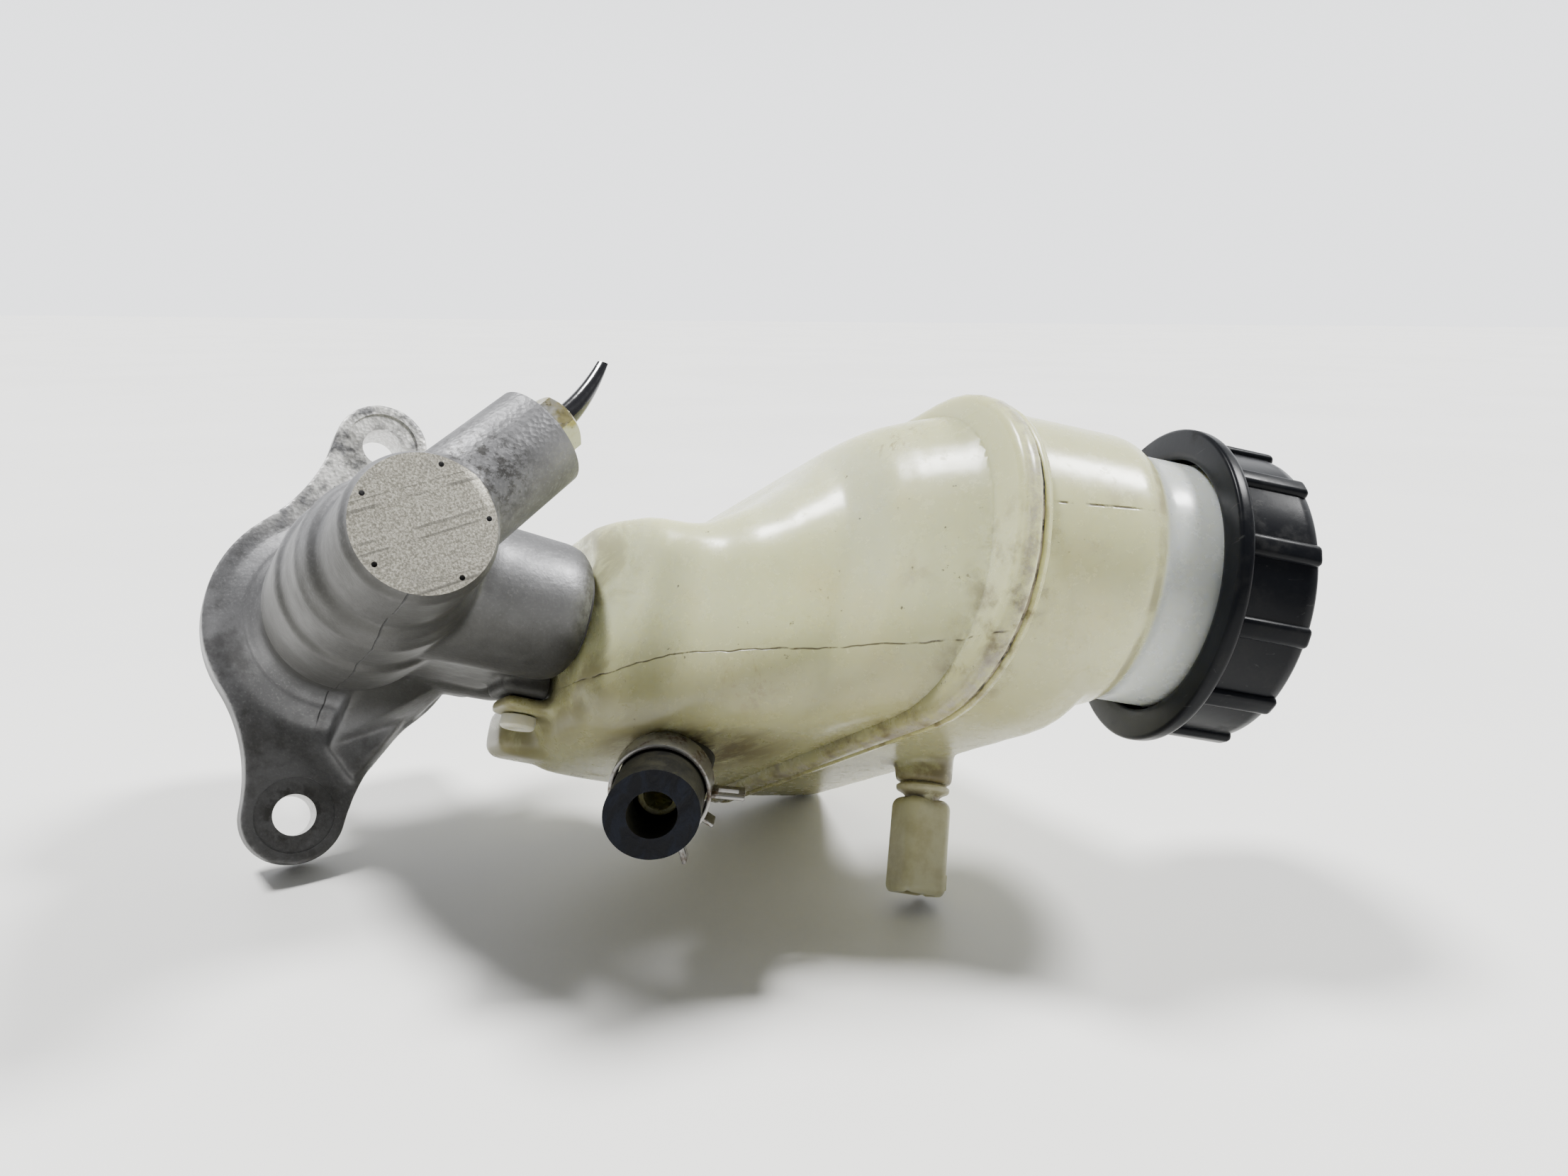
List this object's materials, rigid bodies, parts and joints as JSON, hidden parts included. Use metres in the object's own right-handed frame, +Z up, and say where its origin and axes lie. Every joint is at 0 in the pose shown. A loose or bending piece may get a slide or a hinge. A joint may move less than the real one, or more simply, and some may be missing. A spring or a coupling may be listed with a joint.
{
  "type": "brake master cylinder",
  "caption": "Tandem brake master cylinder with a flanged casting, sprung pistons, plastic fluid reservoir, screw cap, level float, outlet pipes and a side hose.",
  "frame": {"origin": "centre of the bounding box at the surface the part lies on", "axes": "+Z up from the bench the part lies on, +X the way the longest extent runs, from the mounting flange towards the filler cap, -Y towards the viewer in front"},
  "size_m": [0.2374, 0.1336, 0.1142],
  "materials": {
    "cast_aluminium": "grey as-cast aluminium, grainy and stained, with machined end, port and nut faces",
    "machined_aluminium": "turned and anodised aluminium",
    "spring_steel": "dark plain steel with light rust",
    "zinc_plate": "yellow-tinged zinc plate",
    "pipe_coating": "glossy black coating on steel pipe",
    "black_rubber": "black rubber, dusty on the outside",
    "milky_plastic": "translucent natural polypropylene, yellowed and stained",
    "white_plastic": "off-white translucent nylon",
    "black_plastic": "satin black moulded plastic",
    "float_foam": "dark closed-cell foam",
    "contact_brass": "plain brass blades"
  },
  "bodies": {
    "root": {"cylinder_body": "cast_aluminium", "spigot_o_ring": "black_rubber", "snap_ring": "spring_steel", "stop_washer": "spring_steel", "rod_guide": "white_plastic", "front_pipe_nut": "zinc_plate", "front_brake_pipe": "pipe_coating", "rear_pipe_nut": "zinc_plate", "rear_brake_pipe": "pipe_coating", "front_grommet": "black_rubber", "rear_grommet": "black_rubber", "reservoir_lower_shell": "milky_plastic", "reservoir_upper_shell": "milky_plastic", "reservoir_pin": "white_plastic", "filler_strainer": "white_plastic", "sensor_housing": "white_plastic", "reed_switch": "spring_steel", "terminal_block": "white_plastic", "connector_pin_1": "contact_brass", "connector_pin_2": "contact_brass", "float_post": "white_plastic", "clutch_hose": "black_rubber", "hose_clamp": "spring_steel", "secondary_spring": "spring_steel"},
    "secondary_piston": {"secondary_piston": "machined_aluminium", "secondary_front_cup": "black_rubber", "secondary_rear_cup": "black_rubber", "spring_retainer": "spring_steel"},
    "primary_piston": {"primary_piston": "machined_aluminium", "primary_cup": "black_rubber", "primary_rear_cup": "black_rubber", "spring_cage_pin": "spring_steel", "primary_spring": "spring_steel"},
    "cap_seal": {"cap_seal": "black_rubber"},
    "filler_cap": {"filler_cap": "black_plastic"},
    "level_float": {"level_float": "float_foam", "float_magnet": "spring_steel"}
  },
  "joints": [
    {"name": "secondary_stroke", "type": "slide", "parent": "root", "child": "secondary_piston", "axis": [0.4792, -0.7734, 0.415], "range_m": [0, 0.012], "stiffness_N_per_m": 2500, "springref_m": -0.01, "deforming": ["secondary_spring"]},
    {"name": "primary_stroke", "type": "slide", "parent": "secondary_piston", "child": "primary_piston", "axis": [0.4792, -0.7734, 0.415], "range_m": [0, 0.012], "stiffness_N_per_m": 2500, "springref_m": -0.01, "deforming": ["primary_spring"]},
    {"name": "cap_lift", "type": "slide", "parent": "root", "child": "cap_seal", "axis": [0.9699, 0.1297, -0.2058], "range_m": [0, 0.0051]},
    {"name": "cap_turn", "type": "hinge", "parent": "cap_seal", "child": "filler_cap", "pos_m": [0.09345, -0.01808, 0.06971], "axis": [0.9699, 0.1297, -0.2058], "range_deg": [0, 450]},
    {"name": "float_travel", "type": "slide", "parent": "root", "child": "level_float", "axis": [0.8708, 0.3598, -0.3349], "range_m": [-0.016, 0]}
  ],
  "couplings": [
    {"joint": "primary_stroke", "follows": "secondary_stroke", "ratio": 1},
    {"joint": "cap_lift", "follows": "cap_turn", "m_per_rad": 0.00063662}
  ]
}
